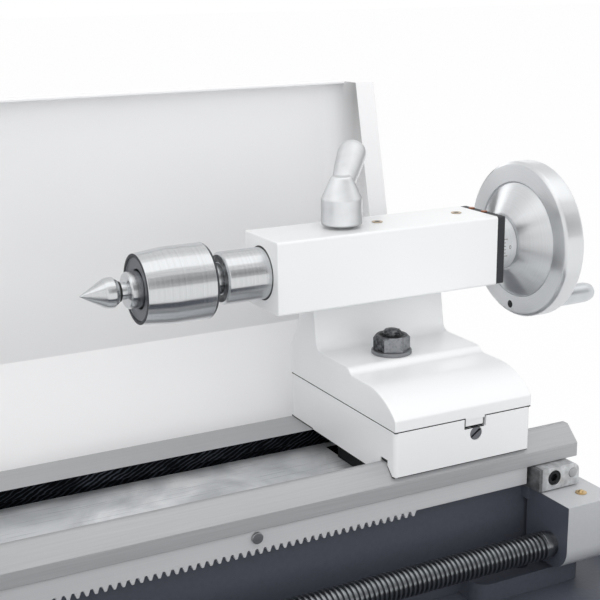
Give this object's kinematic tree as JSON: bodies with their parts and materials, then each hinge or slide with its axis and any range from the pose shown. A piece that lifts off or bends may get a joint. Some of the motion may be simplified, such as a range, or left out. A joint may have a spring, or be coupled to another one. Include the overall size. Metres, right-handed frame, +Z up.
{
  "type": "bench metal lathe",
  "caption": "Bench metal lathe with geared leadscrew drive, scroll chuck, compound carriage on V and flat ways, and a tailstock with quill, live centre and crank handwheel.",
  "frame": {"origin": "bench top under the spindle axis, at the middle of the machine's length and depth", "axes": "+X along the spindle axis from headstock to tailstock, +Y to the back, +Z up"},
  "size_m": [1.024, 0.456, 0.308],
  "materials": {
    "white_paint": "gloss white paint on castings and sheet",
    "slate_paint": "dark slate paint",
    "ground_steel": "ground and turned steel",
    "satin_aluminium": "satin turned aluminium",
    "black_oxide": "black oxide steel",
    "dark_steel": "dark hardened steel",
    "brass": "plain brass",
    "rubber": "black rubber",
    "black_plastic": "black moulded plastic",
    "red_plastic": "red moulded plastic",
    "bare_iron": "machined cast iron"
  },
  "bodies": {
    "bed_frame": {"bed": "slate_paint", "rack": "ground_steel", "bracket_right": "white_paint", "bracket_left": "white_paint", "bed_fasteners": "ground_steel", "bed_oilers": "brass", "chip_tray": "slate_paint", "feet": "rubber", "splash_guard": "white_paint", "headstock": "white_paint", "gear_cover": "white_paint", "spindle_bearings": "ground_steel", "motor": "slate_paint", "drive_belt": "rubber", "control_panel": "black_plastic"},
    "spindle": {"spindle": "ground_steel", "chuck_body": "ground_steel", "spindle_pulley": "satin_aluminium", "spindle_gear": "ground_steel"},
    "jaw_1": {"jaw_1": "dark_steel"},
    "jaw_2": {"jaw_2": "dark_steel"},
    "jaw_3": {"jaw_3": "dark_steel"},
    "motor_pulley": {"motor_pulley": "satin_aluminium"},
    "idler": {"idler_gear": "ground_steel"},
    "leadscrew": {"leadscrew": "ground_steel", "leadscrew_gear": "ground_steel"},
    "carriage": {"saddle": "white_paint", "apron": "white_paint", "saddle_keepers": "ground_steel"},
    "carriage_wheel": {"carriage_handwheel": "satin_aluminium", "carriage_pinion": "ground_steel"},
    "half_nut_lever": {"half_nut_lever": "black_oxide"},
    "half_nut_upper": {"half_nut_upper": "brass"},
    "half_nut_lower": {"half_nut_lower": "brass"},
    "cross_slide": {"cross_slide": "bare_iron"},
    "cross_feed": {"cross_feed": "satin_aluminium"},
    "swivel": {"swivel_base": "bare_iron"},
    "top_slide": {"top_slide": "bare_iron"},
    "top_feed": {"top_feed": "satin_aluminium"},
    "tool_post": {"tool_post": "black_oxide", "tool_screws": "black_oxide"},
    "tool_lever": {"tool_lever": "black_oxide"},
    "tailstock": {"tailstock_body": "white_paint", "tailstock_base": "white_paint", "end_plate": "black_oxide", "tailstock_screws": "brass", "clamp_bolt": "ground_steel", "clamp_plate": "dark_steel", "tailstock_oilers": "brass"},
    "clamp_nut": {"clamp_nut": "black_oxide"},
    "quill": {"quill": "ground_steel", "live_centre_body": "ground_steel", "live_centre_cap": "dark_steel"},
    "live_point": {"live_centre_point": "ground_steel"},
    "tail_wheel": {"tailstock_handwheel": "satin_aluminium", "tailstock_dial": "satin_aluminium", "feed_screw": "ground_steel"},
    "lock_lever": {"lock_lever": "satin_aluminium"},
    "speed_knob": {"speed_knob": "black_plastic"},
    "emergency_stop": {"emergency_stop": "red_plastic"}
  },
  "joints": [
    {"name": "spindle_spin", "type": "hinge", "parent": "bed_frame", "child": "spindle", "pos_m": [-0.3, 0, 0.212], "axis": [1, 0, 0], "continuous": true},
    {"name": "jaw_1_slide", "type": "slide", "parent": "spindle", "child": "jaw_1", "axis": [0, 0, 1], "range_m": [-0.009, 0.006]},
    {"name": "jaw_2_slide", "type": "slide", "parent": "spindle", "child": "jaw_2", "axis": [0, -0.866, -0.5], "range_m": [-0.009, 0.006]},
    {"name": "jaw_3_slide", "type": "slide", "parent": "spindle", "child": "jaw_3", "axis": [0, 0.866, -0.5], "range_m": [-0.009, 0.006]},
    {"name": "motor_spin", "type": "hinge", "parent": "bed_frame", "child": "motor_pulley", "pos_m": [-0.44, 0.122, 0.132], "axis": [1, 0, 0], "continuous": true},
    {"name": "idler_spin", "type": "hinge", "parent": "bed_frame", "child": "idler", "pos_m": [-0.468, -0.0599, 0.14733], "axis": [1, 0, 0], "continuous": true},
    {"name": "leadscrew_spin", "type": "hinge", "parent": "bed_frame", "child": "leadscrew", "pos_m": [0, -0.101, 0.056], "axis": [1, 0, 0], "continuous": true},
    {"name": "carriage_slide", "type": "slide", "parent": "bed_frame", "child": "carriage", "axis": [1, 0, 0], "range_m": [-0.025, 0.24]},
    {"name": "carriage_wheel_turn", "type": "hinge", "parent": "carriage", "child": "carriage_wheel", "pos_m": [-0.072, -0.14, 0.074], "axis": [0, -1, 0], "range_deg": [-140, 1312]},
    {"name": "half_nut_engage", "type": "hinge", "parent": "carriage", "child": "half_nut_lever", "pos_m": [0.015, -0.13, 0.085], "axis": [0, 1, 0], "range_deg": [0, 50]},
    {"name": "half_nut_upper_close", "type": "slide", "parent": "carriage", "child": "half_nut_upper", "axis": [0, 0, -1], "range_m": [0, 0.004]},
    {"name": "half_nut_lower_close", "type": "slide", "parent": "carriage", "child": "half_nut_lower", "axis": [0, 0, 1], "range_m": [0, 0.004]},
    {"name": "cross_feed_turn", "type": "hinge", "parent": "carriage", "child": "cross_feed", "pos_m": [-0.025, -0.14, 0.131], "axis": [0, -1, 0], "range_deg": [-2400, 3120]},
    {"name": "cross_slide_move", "type": "slide", "parent": "carriage", "child": "cross_slide", "axis": [0, -1, 0], "range_m": [-0.02, 0.026]},
    {"name": "compound_swivel", "type": "hinge", "parent": "cross_slide", "child": "swivel", "pos_m": [-0.025, -0.062, 0.154], "axis": [0, 0, 1], "range_deg": [-60, 45]},
    {"name": "top_feed_turn", "type": "hinge", "parent": "swivel", "child": "top_feed", "pos_m": [0.025, -0.062, 0.171], "axis": [1, 0, 0], "range_deg": [-3600, 1080]},
    {"name": "top_slide_move", "type": "slide", "parent": "swivel", "child": "top_slide", "axis": [1, 0, 0], "range_m": [-0.02, 0.006]},
    {"name": "tool_post_index", "type": "hinge", "parent": "top_slide", "child": "tool_post", "pos_m": [-0.03, -0.062, 0.188], "axis": [0, 0, 1], "continuous": true},
    {"name": "tool_lever_turn", "type": "hinge", "parent": "tool_post", "child": "tool_lever", "pos_m": [-0.03, -0.062, 0.238], "axis": [0, 0, 1], "range_deg": [-60, 120]},
    {"name": "tailstock_slide", "type": "slide", "parent": "bed_frame", "child": "tailstock", "axis": [1, 0, 0], "range_m": [-0.1, 0.02]},
    {"name": "tail_wheel_turn", "type": "hinge", "parent": "tailstock", "child": "tail_wheel", "pos_m": [0.445, 0, 0.212], "axis": [-1, 0, 0], "range_deg": [-576, 7200]},
    {"name": "quill_slide", "type": "slide", "parent": "tailstock", "child": "quill", "axis": [-1, 0, 0], "range_m": [-0.004, 0.05]},
    {"name": "live_point_spin", "type": "hinge", "parent": "quill", "child": "live_point", "pos_m": [0.175, 0, 0.212], "axis": [1, 0, 0], "continuous": true},
    {"name": "lock_lever_turn", "type": "hinge", "parent": "tailstock", "child": "lock_lever", "pos_m": [0.3175, 0, 0.242], "axis": [0, 0, 1], "range_deg": [-60, 30]},
    {"name": "clamp_nut_turn", "type": "hinge", "parent": "tailstock", "child": "clamp_nut", "pos_m": [0.3404, -0.0194, 0.165], "axis": [0, 0, 1], "range_deg": [-120, 60]},
    {"name": "speed_knob_turn", "type": "hinge", "parent": "bed_frame", "child": "speed_knob", "pos_m": [-0.33, -0.1, 0.194], "axis": [0, -1, 0], "range_deg": [-150, 150]},
    {"name": "emergency_stop_press", "type": "slide", "parent": "bed_frame", "child": "emergency_stop", "axis": [0, 1, 0], "range_m": [0, 0.004], "stiffness_N_per_m": 400}
  ],
  "couplings": [
    {"joint": "jaw_2_slide", "follows": "jaw_1_slide", "ratio": 1},
    {"joint": "jaw_3_slide", "follows": "jaw_1_slide", "ratio": 1},
    {"joint": "motor_spin", "follows": "spindle_spin", "ratio": 2.4173},
    {"joint": "idler_spin", "follows": "spindle_spin", "ratio": -0.375},
    {"joint": "leadscrew_spin", "follows": "spindle_spin", "ratio": 0.66667},
    {"joint": "carriage_wheel_turn", "follows": "carriage_slide", "rad_per_m": 95.238},
    {"joint": "half_nut_upper_close", "follows": "half_nut_engage", "m_per_rad": 0.0045722},
    {"joint": "half_nut_lower_close", "follows": "half_nut_engage", "m_per_rad": 0.0045722},
    {"joint": "cross_feed_turn", "follows": "cross_slide_move", "rad_per_m": 2094.4},
    {"joint": "top_feed_turn", "follows": "top_slide_move", "rad_per_m": 3141.6},
    {"joint": "quill_slide", "follows": "tail_wheel_turn", "m_per_rad": 0.00039789}
  ]
}
